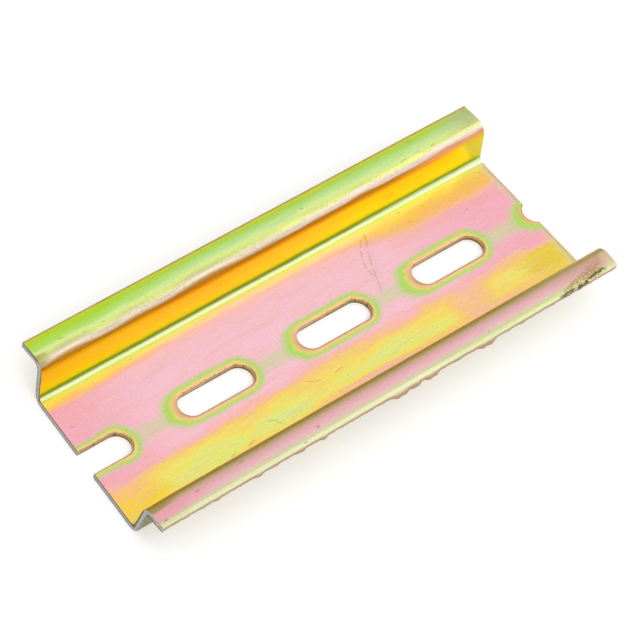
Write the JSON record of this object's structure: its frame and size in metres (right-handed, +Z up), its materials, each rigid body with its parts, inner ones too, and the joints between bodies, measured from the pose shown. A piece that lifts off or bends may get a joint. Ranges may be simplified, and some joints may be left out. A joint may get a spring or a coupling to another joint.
{
  "type": "din rail",
  "caption": "Short length of slotted top-hat mounting rail: a channel bent from thin steel sheet, with an outward flange on each side and a row of long holes in its base.",
  "frame": {"origin": "below the middle of the bounding box, on the underside of the base", "axes": "+X along the rail from its skewed end to its square end, +Y across the rail, +Z up out of the open side of the channel"},
  "size_m": [0.087, 0.035, 0.0075],
  "materials": {
    "plated_steel": "zinc plated and yellow passivated, with an iridescent pink, yellow and green film"
  },
  "bodies": {
    "root": {"rail": "plated_steel"}
  },
  "joints": []
}
